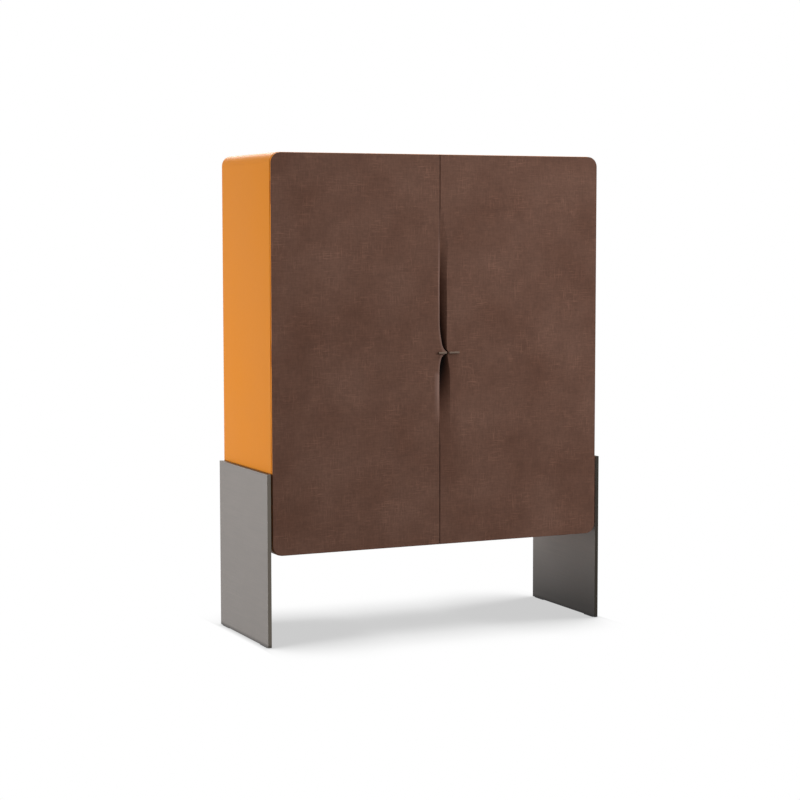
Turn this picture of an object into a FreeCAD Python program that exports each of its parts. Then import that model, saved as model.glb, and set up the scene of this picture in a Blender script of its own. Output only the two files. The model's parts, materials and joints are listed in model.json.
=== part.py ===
import FreeCAD, Part
import math
import os
import re
import Sketcher

# A tall two-door cabinet: a lacquered box with rounded corners, carried by two metal panel legs.
# Each door is a rebated board faced with leather. The two leathers meet at a sculpted edge: the left
# one ends in a pointed tongue that carries a small metal bar, the right one slopes in to a finger scoop.
# X runs to the right, Y to the back and Z up. The origin is on the floor, under the middle.

doc = FreeCAD.newDocument("display_cabinet")
sheet = doc.addObject("Spreadsheet::Sheet", "Sizes")
V = FreeCAD.Vector
LEFT, RIGHT = -1, 1
SIDE_NAMES = {LEFT: "left", RIGHT: "right"}
CLOSE = 1e-6

# Driving dimensions in millimetres, with what each one is
SIZES = (
    ("carcass_width", 1200, "outside width of the box"),
    ("carcass_height", 1300, "outside height of the box"),
    ("carcass_depth", 438, "depth of the box without the doors"),
    ("floor_clearance", 300, "floor to the underside of the box"),
    ("panel_thick", 36, "side, top and bottom panels"),
    ("corner_radius", 34, "outer corners of the box and of the doors"),
    ("board_round", 1.5, "softened outer edges of the box"),
    ("back_thick", 8, "back panel"),
    ("back_lap", 12, "width of the rebate that takes the back panel"),
    ("divider_thick", 20, "upright between the two halves"),
    ("divider_play", 3, "divider and catches behind the doors"),
    ("shelf_thick", 20, "shelf boards"),
    ("shelf_setback", 24, "shelf front behind the divider's front"),
    ("shelf_play", 1, "shelf ends and back"),
    ("shelf_pin_radius", 2.5, "round shank of a shelf pin"),
    ("shelf_pin_depth", 9, "shank in its hole"),
    ("shelf_pin_inset", 60, "pin row from the shelf's front and back edges"),
    ("paddle_length", 12, "flat of the pin under the shelf"),
    ("paddle_width", 10, "the same, along the shelf's end"),
    ("paddle_thick", 3, "the same, its height"),
    ("fit_play", 0.1, "fixed shanks in their holes"),
    ("leg_thick", 13, "metal leg panel"),
    ("leg_height", 568, "top of the leg panel above the floor"),
    ("leg_gap", 4, "shadow gap between leg and box"),
    ("leg_edge_radius", 1, "softened edges of the leg"),
    ("glide_thick", 2, "pad under the leg"),
    ("glide_length", 60, "the same, front to back"),
    ("glide_inset", 15, "pad from the leg's front and back edges"),
    ("glide_margin", 1, "pad inside the leg's two faces"),
    ("bolt_radius", 3, "leg bolt shank"),
    ("bolt_head_radius", 6.5, "leg bolt head"),
    ("bolt_head_height", 4, "the same"),
    ("bolt_bite", 9, "bolt in the leg"),
    ("bolt_inset", 70, "bolt rows from the box's front and back edges"),
    ("bolt_low", 70, "lower bolts above the underside of the box"),
    ("bolt_rise", 150, "upper bolts above the lower ones"),
    ("spacer_radius", 9, "spacer ring on each leg bolt"),
    ("leather_thick", 3, "leather face of a door"),
    ("leather_round", 1.4, "softened front edge of the leather"),
    ("lip_thick", 7, "part of the door board that covers the box's edges"),
    ("lip_round", 1.5, "softened back edge of the lip at the hinges"),
    ("core_thick", 17, "part of the door board inside the box"),
    ("core_play", 2.5, "core all round in the box"),
    ("seat_gap", 1.2, "lip in front of the box's edges"),
    ("door_reveal", 1, "door outline inside the box's outline"),
    ("door_gap", 2, "between the two doors"),
    ("handle_height", 944, "metal bars above the floor"),
    ("tongue_reach", 26, "tip of the tongue past the left door's edge"),
    ("tongue_up", 110, "tongue's upper sweep"),
    ("tongue_down", 62, "tongue's lower sweep"),
    ("tongue_neck", 9.5, "upper sweep's reach where it bends to the tip"),
    ("tongue_neck_rise", 27, "the same, above the bar"),
    ("tongue_low_neck", 5.5, "lower sweep's reach where it bends to the tip"),
    ("tongue_low_neck_drop", 22, "the same, below the bar"),
    ("tongue_tip", 3, "half height of the tip"),
    ("tongue_root", 12, "tongue's overlap with its door"),
    ("tongue_play", 3, "notch of the right door round the tongue"),
    ("scoop_up", 480, "finger scoop above the bars"),
    ("scoop_down", 300, "finger scoop below the bars"),
    ("scoop_width", 25, "finger scoop above the bars, to the crease in the leather"),
    ("scoop_low_width", 37, "the same, below the bars"),
    ("scoop_flat", 4, "flat bottom of the scoop beside the left door"),
    ("scoop_depth", 24, "scoop at its deepest"),
    ("scoop_end", 0.4, "depth left where the scoop runs out"),
    ("grip_width", 44, "shaped block behind the scoop"),
    ("grip_margin", 20, "block past both ends of the scoop"),
    ("roll_width", 6, "rolled edge of the left leather above the tongue"),
    ("roll_low_width", 13, "the same, below the tongue"),
    ("roll_edge", 0.6, "leather left at the rolled edge"),
    ("roll_end", 0.3, "depth left where a rolled edge runs out"),
    ("roll_lead", 0.15, "start of the roll's sweep in front of the leather"),
    ("roll_start", 4, "rolled edge from the tongue's sweeps"),
    ("bar_projection", 6, "handle bars in front of the leather"),
    ("bar_height", 6, "handle bars"),
    ("bar_round", 1, "softened edges of the bars"),
    ("left_bar_length", 29, "bar on the tongue"),
    ("right_bar_length", 38, "bar on the right door"),
    ("bar_tip", 1.5, "left bar short of the tongue's tip"),
    ("bar_space", 9, "clear space between the two bars"),
    ("bar_screw_radius", 1.5, "screws that hold the bars"),
    ("bar_screw_head", 2.8, "the same, head radius"),
    ("bar_screw_head_height", 2, "the same, head height"),
    ("bar_screw_bite", 4, "the same, inside the bar"),
    ("bar_screw_inset", 8, "the same, from the bar's ends"),
    ("axis_inset", 3, "hinge axis inside the door's outer edge"),
    ("axis_depth", 6.6, "hinge axis behind the leather's front"),
    ("knuckle_radius", 2.8, "hinge knuckle"),
    ("knuckle_play", 0.4, "between knuckles of one hinge"),
    ("pin_radius", 1.2, "hinge pin"),
    ("pin_head_radius", 2.2, "hinge pin's head"),
    ("pin_head_height", 1.5, "the same"),
    ("pin_play", 0.08, "pin in the knuckles"),
    ("hinge_height", 70, "hinge leaves"),
    ("hinge_end", 130, "end hinges from the box's top and underside"),
    ("leaf_width", 24, "leaf from the hinge axis inwards"),
    ("leaf_thick", 1.2, "leaf"),
    ("leaf_screw_reach", 14.4, "hinge screws from the hinge axis"),
    ("leaf_web", 1.5, "half of the frame leaf's neck"),
    ("leaf_clear", 0.6, "door leaf clear of the knuckles"),
    ("lip_clear", 0.6, "lip clear of the hinge's ends"),
    ("screw_radius", 1.3, "hinge screws"),
    ("screw_head_radius", 2.4, "the same, countersunk head"),
    ("frame_screw_length", 16, "screws in the box's edge"),
    ("lip_screw_length", 5, "screws in the lip"),
    ("screw_spread", 22, "hinge screws above and below the hinge's middle"),
    ("catch_length", 44, "magnetic catch"),
    ("catch_depth", 14, "the same"),
    ("catch_height", 16, "the same"),
    ("catch_offset", 60, "catch from the middle of the box"),
    ("strike_thick", 1.5, "strike plate on the door"),
    ("strike_play", 0.5, "strike plate and catch with the door shut"),
    ("strike_margin", 3, "strike plate smaller than the catch"),
)
for row, (alias, number, note) in enumerate(SIZES, start=1):
    sheet.set(f"A{row}", alias)
    sheet.set(f"B{row}", str(number))
    sheet.set(f"C{row}", note)
    sheet.setAlias(f"B{row}", alias)
doc.recompute()
ALIASES = {alias for alias, number, note in SIZES}

# Places and sizes that follow from the driving dimensions
DERIVED = {
    "half_width": "carcass_width / 2",
    "door_stack": "bar_projection + leather_thick + lip_thick + seat_gap",
    "leather_front": "bar_projection - (door_stack + carcass_depth) / 2",
    "lip_front": "leather_front + leather_thick",
    "lip_back": "lip_front + lip_thick",
    "core_back": "lip_back + core_thick",
    "carcass_front": "lip_back + seat_gap",
    "carcass_back": "carcass_front + carcass_depth",
    "back_front": "carcass_back - back_thick",
    "carcass_top": "floor_clearance + carcass_height",
    "inner_half": "half_width - panel_thick",
    "inner_bottom": "floor_clearance + panel_thick",
    "inner_top": "carcass_top - panel_thick",
    "half_divider": "divider_thick / 2",
    "divider_front": "core_back + divider_play",
    "shelf_front": "divider_front + shelf_setback",
    "shelf_back": "back_front - shelf_play",
    "half_gap": "door_gap / 2",
    "door_edge": "half_width - door_reveal",
    "door_width": "door_edge - half_gap",
    "door_above": "carcass_top - door_reveal - handle_height",
    "door_below": "handle_height - floor_clearance - door_reveal",
    "core_width": "inner_half - core_play - half_gap",
    "core_above": "inner_top - core_play - handle_height",
    "core_below": "handle_height - inner_bottom - core_play",
    "roll_depth": "leather_thick - roll_edge",
    "grip_above": "scoop_up + grip_margin",
    "grip_below": "scoop_down + grip_margin",
    "bar_middle": "tongue_reach - half_gap - bar_tip",
    "left_bar_start": "bar_middle - left_bar_length",
    "right_bar_start": "bar_middle + bar_space",
    "right_bar_end": "right_bar_start + right_bar_length",
    "hinge_x": "door_edge - axis_inset",
    "hinge_y": "leather_front + axis_depth",
    "knuckle_clear": "knuckle_radius + leaf_clear",
    "half_hinge": "hinge_height / 2",
    "quarter_hinge": "hinge_height / 4",
    "leaf_screw_x": "hinge_x - leaf_screw_reach",
    "leg_inner": "half_width + leg_gap",
    "leg_outer": "leg_inner + leg_thick",
    "catch_front": "core_back + strike_thick + strike_play",
}
FUNCTIONS = ("min", "max")


def bound(text):
    """Turns an expression in plain size names into one that reads the sheet."""
    def swap(match):
        word = match.group(0)
        if word in FUNCTIONS:
            return word
        if word in DERIVED:
            return "(" + bound(DERIVED[word]) + ")"
        if word not in ALIASES:
            raise ValueError("no such size: " + word)
        return "Sizes." + word
    return re.sub(r"[a-z][a-z_]+", swap, text)


ruler = doc.addObject("App::FeaturePython", "Ruler")
ruler.addProperty("App::PropertyFloat", "Reading")


def measure(text):
    """Gives the present value of an expression in size names."""
    ruler.setExpression("Reading", bound(text))
    ruler.recompute()
    return ruler.Reading


def place(item, x, y, z):
    """Binds an object's position to three expressions."""
    for axis, text in zip("xyz", (x, y, z)):
        item.setExpression("Placement.Base." + axis, bound(text))


def span(side, inner, outer):
    """Gives the low and high X of a stretch that lies on the left or on the right."""
    if side == RIGHT:
        return (inner, outer)
    return (f"-({outer})", f"-({inner})")


# Primitive solids and booleans

def box(name, x, y, z):
    """A box between low and high expressions on each axis."""
    solid = doc.addObject("Part::Box", name)
    for size, (low, high) in zip(("Length", "Width", "Height"), (x, y, z)):
        solid.setExpression(size, bound(f"({high}) - ({low})"))
    place(solid, x[0], y[0], z[0])
    return solid


TURNS = {
    "+x": FreeCAD.Rotation(V(0, 1, 0), 90),
    "-x": FreeCAD.Rotation(V(0, 1, 0), -90),
    "+y": FreeCAD.Rotation(V(1, 0, 0), -90),
    "-y": FreeCAD.Rotation(V(1, 0, 0), 90),
    "+z": FreeCAD.Rotation(),
}


def rod(name, along, radius, length, x, y, z):
    """A round rod that starts at a point and runs along an axis."""
    solid = doc.addObject("Part::Cylinder", name)
    solid.setExpression("Radius", bound(radius))
    solid.setExpression("Height", bound(length))
    solid.Placement = FreeCAD.Placement(V(), TURNS[along])
    place(solid, x, y, z)
    return solid


def taper(name, along, start_radius, end_radius, length, x, y, z):
    """A cone frustum that starts at a point and runs along an axis."""
    solid = doc.addObject("Part::Cone", name)
    solid.setExpression("Radius1", bound(start_radius))
    solid.setExpression("Radius2", bound(end_radius))
    solid.setExpression("Height", bound(length))
    solid.Placement = FreeCAD.Placement(V(), TURNS[along])
    place(solid, x, y, z)
    return solid


def fuse(name, solids):
    """Joins solids that make one piece."""
    joined = doc.addObject("Part::MultiFuse", name)
    joined.Shapes = solids
    return joined


def group(name, solids):
    """Keeps identical solids apart under one name."""
    kept = doc.addObject("Part::Compound", name)
    kept.Links = solids
    return kept


def cut(name, base, tools):
    """Takes tools away from a piece."""
    result = doc.addObject("Part::Cut", name)
    result.Base = base
    result.Tool = group(name + "_tools", tools) if len(tools) > 1 else tools[0]
    return result


# Bodies with sketches

def new_body(name, x, y, z):
    """A body whose own origin stands at a bound place."""
    body = doc.addObject("PartDesign::Body", name)
    place(body, x, y, z)
    return body


def sketch_on(body, role, name, offset=None):
    """A sketch on one of the body's origin planes, moved along the plane's normal."""
    plane = next(item for item in body.Origin.OriginFeatures if item.Role == role)
    sketch = body.newObject("Sketcher::SketchObject", name)
    sketch.AttachmentSupport = [(plane, "")]
    sketch.MapMode = "FlatFace"
    if offset is not None:
        sketch.setExpression("AttachmentOffset.Base.z", bound(offset))
    return sketch


def bind_distance(sketch, kind, edge, end, text, reading, axis_line):
    """Ties one coordinate of a point to an expression, measured from the sketch's origin."""
    if abs(reading) < CLOSE:
        sketch.addConstraint(Sketcher.Constraint("PointOnObject", edge, end, axis_line))
        return
    ends = (-1, 1, edge, end) if reading > 0 else (edge, end, -1, 1)
    size = text if reading > 0 else f"-({text})"
    number = sketch.addConstraint(Sketcher.Constraint(kind, *ends, abs(reading)))
    sketch.setExpression(f"Constraints[{number}]", bound(size))


def arc_about(start, end, bend):
    """A circular arc between two points, its centre level or plumb with one of them.

    A smooth arc starts only near its place and is drawn there by the sketch.
    """
    kind, at_start = bend
    near, far = (start, end) if at_start else (end, start)
    reach = (far - near).Length ** 2
    centre = V(near)
    if kind == "plumb":
        centre.y += reach / (2 * (far.y - near.y))
    else:
        centre.x += reach / (2 * (far.x - near.x))
    first = math.atan2(start.y - centre.y, start.x - centre.x)
    last = math.atan2(end.y - centre.y, end.x - centre.x)
    forward = (last - first) % (2 * math.pi) < math.pi
    circle = Part.Circle(centre, V(0, 0, 1), (near - centre).Length)
    if forward:
        return Part.ArcOfCircle(circle, first, last), forward
    return Part.ArcOfCircle(circle, last, first), forward


def outline(sketch, points, bends=None, smooth=()):
    """Draws a closed outline through bound points; bends tells which stretches are arcs, smooth which
    points join two stretches without a corner."""
    bends = bends or {}
    readings = [V(measure(x), measure(y), 0) for x, y in points]
    ends = []
    for number, start in enumerate(readings):
        end = readings[(number + 1) % len(readings)]
        forward = True
        if number in bends:
            piece, forward = arc_about(start, end, bends[number])
        else:
            piece = Part.LineSegment(start, end)
        edge = sketch.addGeometry(piece)
        ends.append((edge, 1, 2) if forward else (edge, 2, 1))
    for number, (edge, first, last) in enumerate(ends):
        meeting = (number + 1) % len(ends)
        joint = "Tangent" if meeting in smooth else "Coincident"
        following = ends[meeting]
        sketch.addConstraint(Sketcher.Constraint(joint, edge, last, following[0], following[1]))
    for (edge, first, last), (x, y), reading in zip(ends, points, readings):
        bind_distance(sketch, "DistanceX", edge, first, x, reading.x, -2)
        bind_distance(sketch, "DistanceY", edge, first, y, reading.y, -1)
    for number, (kind, at_start) in bends.items():
        if kind == "smooth":
            continue
        edge, first, last = ends[number]
        level = "Horizontal" if kind == "level" else "Vertical"
        sketch.addConstraint(Sketcher.Constraint(level, edge, 3, edge, first if at_start else last))
    return sketch


def pad(body, sketch, length, backward=False):
    """Pads a sketch; backward turns the pad round."""
    feature = body.newObject("PartDesign::Pad", sketch.Name + "_pad")
    feature.Profile = sketch
    feature.setExpression("Length", bound(length))
    feature.Reversed = backward
    doc.recompute()
    return feature


def round_edges(body, base, radius, chosen):
    """Fillets the edges of the last feature that a test picks out."""
    names = [f"Edge{n}" for n, edge in enumerate(base.Shape.Edges, start=1) if chosen(edge)]
    if not names:
        raise RuntimeError("no edge to round on " + body.Name)
    feature = body.newObject("PartDesign::Fillet", base.Name + "_round")
    feature.Base = (base, names)
    feature.setExpression("Radius", bound(radius))
    doc.recompute()
    return feature


def runs_along(edge, axis):
    """Tells whether a straight edge is parallel to an axis."""
    if not isinstance(edge.Curve, Part.Line):
        return False
    return abs(abs(edge.Curve.Direction.dot(axis)) - 1) < CLOSE


def loft(body, kind, sections, name):
    """Lofts through sketches, adding to the body or cutting it."""
    feature = body.newObject(kind, name)
    feature.Profile = sections[0]
    feature.Sections = sections[1:]
    doc.recompute()
    return feature


def rectangle(sketch, low_x, high_x, low_y, high_y):
    """Draws a rectangle between bound lines."""
    return outline(sketch, [(low_x, low_y), (high_x, low_y), (high_x, high_y), (low_x, high_y)])


pieces = []


def keep(item, label):
    """Marks a finished piece and names its file."""
    item.Label = label
    pieces.append(item)
    return item


# Heights that repeat

HINGE_NAMES = ("bottom", "middle", "top")
HINGE_HEIGHTS = {
    "bottom": "floor_clearance + hinge_end",
    "middle": "floor_clearance + carcass_height / 2",
    "top": "carcass_top - hinge_end",
}
SHELF_NAMES = ("lower", "middle", "upper")
SHELF_BAYS = len(SHELF_NAMES) + 1
SHELF_HEIGHTS = {
    name: f"inner_bottom + (inner_top - inner_bottom) * {number} / {SHELF_BAYS} - shelf_thick / 2"
    for number, name in enumerate(SHELF_NAMES, start=1)
}
PIN_ROWS = ("shelf_front + shelf_pin_inset", "shelf_back - shelf_pin_inset")
BOLT_PLACES = [
    (y, z)
    for y in ("carcass_front + bolt_inset", "carcass_back - bolt_inset")
    for z in ("floor_clearance + bolt_low", "floor_clearance + bolt_low + bolt_rise")
]


# Fasteners

def hinge_screw(name, along, length, x, y, z, play="0"):
    """A countersunk screw with its head flush at a point; play makes the hole for it instead."""
    head = taper(name + "_head", along, f"screw_head_radius + {play}", f"screw_radius + {play}",
                 "leaf_thick", x, y, z)
    shank = rod(name + "_shank", along, f"screw_radius + {play}", f"{length} + {play}", x, y, z)
    return fuse(name, [head, shank])


def hinge_screw_places(height):
    """The two screw heights on one hinge leaf."""
    return (f"{height} - screw_spread", f"{height} + screw_spread")


# Shelf pins and their holes

def shelf_pin_parts(side):
    """The pins of one half of the box, and the holes that they need in side panel and divider."""
    pins = []
    side_holes = []
    divider_holes = []
    name = SIDE_NAMES[side]
    for shelf in SHELF_NAMES:
        for row, y in enumerate(PIN_ROWS):
            top = SHELF_HEIGHTS[shelf]
            z = f"{top} - paddle_thick / 2"
            tag = f"pin_{name}_{shelf}_{row}"
            outward = "+x" if side == RIGHT else "-x"
            inward = "-x" if side == RIGHT else "+x"
            flat_y = (f"{y} - paddle_width / 2", f"{y} + paddle_width / 2")
            flat_z = (f"{top} - paddle_thick", top)
            at_side = span(side, "inner_half - paddle_length", "inner_half")
            at_divider = span(side, "half_divider", "half_divider + paddle_length")
            seats = (
                ("side", outward, f"{side} * inner_half", at_side),
                ("divider", inward, f"{side} * half_divider", at_divider),
            )
            for seat, along, x, flat_x in seats:
                paddle = box(f"{tag}_{seat}_flat", flat_x, flat_y, flat_z)
                shank = rod(f"{tag}_{seat}_shank", along, "shelf_pin_radius", "shelf_pin_depth", x, y, z)
                pins.append(fuse(f"{tag}_{seat}", [paddle, shank]))
                hole = rod(f"{tag}_{seat}_hole", along, "shelf_pin_radius + fit_play",
                           "shelf_pin_depth + fit_play", x, y, z)
                (side_holes if seat == "side" else divider_holes).append(hole)
    return pins, side_holes, divider_holes


# The box

def side_panel(side, pin_holes):
    """Side panel with both outer corners rounded, mortised for the hinges and bored for bolts and pins."""
    name = SIDE_NAMES[side]
    start = span(side, "inner_half", "half_width")[0]
    body = new_body(f"side_{name}_board", start, "carcass_front", "floor_clearance")
    profile = rectangle(sketch_on(body, "XZ_Plane", f"side_{name}_profile"),
                        "0", "panel_thick", "0", "carcass_height")
    board = pad(body, profile, "carcass_depth", backward=True)
    outer = measure("panel_thick") if side == RIGHT else 0
    depth = measure("carcass_depth")
    corners = round_edges(body, board, "min(corner_radius; panel_thick - door_reveal)", lambda edge: (
        runs_along(edge, V(0, 1, 0)) and abs(edge.CenterOfMass.x - outer) < CLOSE))
    round_edges(body, corners, "board_round", lambda edge: (
        runs_along(edge, V(0, 0, 1)) and abs(edge.CenterOfMass.x - outer) < CLOSE
        and min(abs(edge.CenterOfMass.y), abs(edge.CenterOfMass.y - depth)) < CLOSE))
    tools = [box(f"side_{name}_rebate", span(side, "inner_half", "inner_half + back_lap"),
                 ("back_front", "carcass_back"),
                 ("inner_bottom - back_lap", "inner_top + back_lap"))]
    for hinge in HINGE_NAMES:
        height = HINGE_HEIGHTS[hinge]
        across = span(side, "hinge_x - leaf_width", "hinge_x + leaf_web")
        tools.append(box(f"side_{name}_{hinge}_mortise", across,
                         ("carcass_front", "carcass_front + leaf_thick"),
                         (f"{height} - half_hinge", f"{height} + half_hinge")))
        for number, z in enumerate(hinge_screw_places(height)):
            tools.append(rod(f"side_{name}_{hinge}_pilot_{number}", "+y", "screw_radius + fit_play",
                             "frame_screw_length + fit_play", f"{side} * leaf_screw_x", "carcass_front", z))
    for number, (y, z) in enumerate(BOLT_PLACES):
        along = "+x" if side == RIGHT else "-x"
        tools.append(rod(f"side_{name}_bolt_hole_{number}", along, "bolt_radius + fit_play", "panel_thick",
                         f"{side} * inner_half", y, z))
    return keep(cut(f"side_{name}", body, tools + pin_holes), f"side_panel_{name}")


def level_panel(label, outer, up):
    """Top or bottom panel between the sides, with softened outer edges and the rebate for the back."""
    body = new_body(label + "_board", "-inner_half", "carcass_front", outer)
    points = [("board_round", "0"), ("carcass_depth - board_round", "0"),
              ("carcass_depth", f"{up} * board_round"),
              ("carcass_depth", f"{up} * (panel_thick - back_lap)"),
              ("carcass_depth - back_thick", f"{up} * (panel_thick - back_lap)"),
              ("carcass_depth - back_thick", f"{up} * panel_thick"), ("0", f"{up} * panel_thick"),
              ("0", f"{up} * board_round")]
    profile = outline(sketch_on(body, "YZ_Plane", label + "_profile"), points,
                      {1: ("plumb", True), 7: ("plumb", False)})
    pad(body, profile, "2 * inner_half")
    return keep(body, label)


def carcass():
    """The fixed box: sides, top, bottom, back, divider, shelves and shelf pins."""
    pins = []
    divider_holes = []
    for side in (LEFT, RIGHT):
        side_pins, side_holes, holes = shelf_pin_parts(side)
        pins += side_pins
        divider_holes += holes
        side_panel(side, side_holes)
    level_panel("top_panel", "carcass_top", -1)
    level_panel("bottom_panel", "floor_clearance", 1)
    keep(box("back_board", ("-inner_half - back_lap", "inner_half + back_lap"),
             ("back_front", "carcass_back"),
             ("inner_bottom - back_lap", "inner_top + back_lap")), "back_panel")
    divider = box("divider_board", ("-half_divider", "half_divider"), ("divider_front", "back_front"),
                  ("inner_bottom", "inner_top"))
    keep(cut("divider", divider, divider_holes), "centre_divider")
    for side in (LEFT, RIGHT):
        across = span(side, "half_divider + shelf_play", "inner_half - shelf_play")
        for shelf in SHELF_NAMES:
            height = SHELF_HEIGHTS[shelf]
            label = f"shelf_{SIDE_NAMES[side]}_{shelf}"
            keep(box(label + "_board", across, ("shelf_front", "shelf_back"),
                     (height, f"{height} + shelf_thick")), label)
    keep(group("pins", pins), "shelf_pins")


# The legs

def legs():
    """Two metal panels that stand off the box on spacers, with their bolts and glides."""
    bolts = []
    spacers = []
    glides = []
    for side in (LEFT, RIGHT):
        name = SIDE_NAMES[side]
        outward = "+x" if side == RIGHT else "-x"
        start = span(side, "leg_inner", "leg_outer")[0]
        body = new_body(f"leg_{name}_plate", start, "lip_front", "glide_thick")
        profile = rectangle(sketch_on(body, "YZ_Plane", f"leg_{name}_profile"),
                            "0", "carcass_back - lip_front", "0", "leg_height - glide_thick")
        plate = pad(body, profile, "leg_thick")
        round_edges(body, plate, "leg_edge_radius", lambda edge: True)
        holes = []
        for number, (y, z) in enumerate(BOLT_PLACES):
            tag = f"leg_{name}_{number}"
            face = f"{side} * half_width"
            shank = rod(tag + "_shank", outward, "bolt_radius", "panel_thick + leg_gap + bolt_bite",
                        f"{side} * inner_half", y, z)
            head = rod(tag + "_head", outward, "bolt_head_radius", "bolt_head_height",
                       f"{side} * (inner_half - bolt_head_height)", y, z)
            bolts.append(fuse(tag + "_bolt", [shank, head]))
            ring = rod(tag + "_ring", outward, "spacer_radius", "leg_gap", face, y, z)
            eye = rod(tag + "_eye", outward, "bolt_radius + fit_play", "leg_gap", face, y, z)
            spacers.append(cut(tag + "_spacer", ring, [eye]))
            holes.append(rod(tag + "_hole", outward, "bolt_radius + fit_play", "bolt_bite + fit_play",
                             f"{side} * leg_inner", y, z))
        keep(cut(f"leg_{name}", body, holes), f"leg_panel_{name}")
        across = span(side, "leg_inner + glide_margin", "leg_outer - glide_margin")
        runs = {
            "front": ("lip_front + glide_inset", "lip_front + glide_inset + glide_length"),
            "back": ("carcass_back - glide_inset - glide_length", "carcass_back - glide_inset"),
        }
        for end, along in runs.items():
            glides.append(box(f"glide_{name}_{end}", across, along, ("0", "glide_thick")))
    keep(group("spacers", spacers), "leg_spacers")
    keep(group("bolts", bolts), "leg_bolts")
    keep(group("glides", glides), "leg_glides")


# The hinges

def hinge(side, position):
    """One butt hinge: frame leaf, door leaf and pin."""
    height = HINGE_HEIGHTS[position]
    tag = f"hinge_{SIDE_NAMES[side]}_{position}"
    x = f"{side} * hinge_x"
    bottom = f"{height} - half_hinge"
    full = (bottom, f"{height} + half_hinge")
    ends = ((bottom, f"{height} - quarter_hinge - knuckle_play"),
            (f"{height} + quarter_hinge + knuckle_play", f"{height} + half_hinge"))
    middle = (f"{height} - quarter_hinge", f"{height} + quarter_hinge")

    def knuckle(name, run):
        return rod(name, "+z", "knuckle_radius", f"({run[1]}) - ({run[0]})", x, "hinge_y", run[0])

    def bore(name):
        return rod(name, "+z", "pin_radius + pin_play", "hinge_height", x, "hinge_y", bottom)

    frame_y = ("carcass_front", "carcass_front + leaf_thick")
    frame_x = span(side, "hinge_x - leaf_width", "hinge_x + leaf_web")
    neck_x = span(side, "hinge_x - leaf_web", "hinge_x + leaf_web")
    frame = [box(tag + "_frame_plate", frame_x, frame_y, full)]
    for number, run in enumerate(ends):
        frame.append(knuckle(f"{tag}_frame_knuckle_{number}", run))
        frame.append(box(f"{tag}_frame_neck_{number}", neck_x, ("hinge_y", frame_y[1]), run))
    door_y = ("lip_back - leaf_thick", "lip_back")
    door_x = span(side, "hinge_x - leaf_width", "hinge_x - knuckle_clear")
    door = [
        box(tag + "_door_plate", door_x, door_y, full),
        box(tag + "_door_bridge", span(side, "hinge_x - knuckle_clear", "hinge_x"), door_y, middle),
        knuckle(tag + "_door_knuckle", middle),
    ]
    frame_holes = [bore(tag + "_frame_bore")]
    door_holes = [bore(tag + "_door_bore")]
    frame_screws = []
    door_screws = []
    for number, z in enumerate(hinge_screw_places(height)):
        at = f"{side} * leaf_screw_x"
        frame_screws.append(hinge_screw(f"{tag}_frame_screw_{number}", "+y", "frame_screw_length",
                                        at, "carcass_front", z))
        frame_holes.append(hinge_screw(f"{tag}_frame_hole_{number}", "+y", "frame_screw_length",
                                       at, "carcass_front", z, "fit_play"))
        door_screws.append(hinge_screw(f"{tag}_door_screw_{number}", "-y", "lip_screw_length",
                                       at, "lip_back", z))
        door_holes.append(hinge_screw(f"{tag}_door_hole_{number}", "-y", "lip_screw_length",
                                      at, "lip_back", z, "fit_play"))
    keep(cut(tag + "_frame", fuse(tag + "_frame_solid", frame), frame_holes), tag + "_frame_leaf")
    keep(cut(tag + "_door", fuse(tag + "_door_solid", door), door_holes), tag + "_door_leaf")
    shaft = rod(tag + "_shaft", "+z", "pin_radius", "hinge_height", x, "hinge_y", bottom)
    head = rod(tag + "_pin_head", "+z", "pin_head_radius", "pin_head_height", x, "hinge_y",
               f"{height} + half_hinge")
    keep(fuse(tag + "_pin_solid", [shaft, head]), tag + "_pin")
    return frame_screws, door_screws


def hinges():
    """All hinges and their screws."""
    frame_screws = []
    for side in (LEFT, RIGHT):
        door_screws = []
        for position in HINGE_NAMES:
            on_frame, on_door = hinge(side, position)
            frame_screws += on_frame
            door_screws += on_door
        keep(group(f"door_{SIDE_NAMES[side]}_screws", door_screws), f"door_{SIDE_NAMES[side]}_hinge_screws")
    keep(group("frame_screws", frame_screws), "frame_hinge_screws")


# The doors

# Lofted edges: sections along each one, where the scoop widens, how narrow a roll gets at its ends and
# where it is at its fullest
STATIONS = 5
WIDEN_START = 0.5
WIDEN_RUN = 2
ROLL_END_SHARE = 0.4
ROLL_PEAK = 0.3
LOW_ROLL_PEAK = 0.35


def fade(share):
    """Smooth fall from one to nought over a share of the way."""
    return (1 + math.cos(math.pi * share)) / 2


def widened(least, share):
    """Share of the full width, between the least one and one."""
    return least + (1 - least) * share


def door_body(side, name):
    """A door body with its origin at the meeting edge, on the leather's front, level with the bars."""
    return new_body(f"door_{SIDE_NAMES[side]}_{name}", f"{side} * half_gap", "leather_front",
                    "handle_height")


def face_plate(side, body, name, offset, thick):
    """Pads the door's outline and rounds its two outer corners."""
    low, high = span(side, "0", "door_width")
    profile = rectangle(sketch_on(body, "XZ_Plane", f"{body.Name}_{name}", offset),
                        low, high, "-door_below", "door_above")
    plate = pad(body, profile, thick, backward=True)
    outer = side * measure("door_width")
    return round_edges(body, plate, "corner_radius", lambda edge: (
        runs_along(edge, V(0, 1, 0)) and abs(edge.CenterOfMass.x - outer) < CLOSE))


def soften_front(body, plate):
    """Rounds the leather's front edge all round."""
    return round_edges(body, plate, "leather_round", lambda edge: abs(edge.CenterOfMass.y) < CLOSE)


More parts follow.
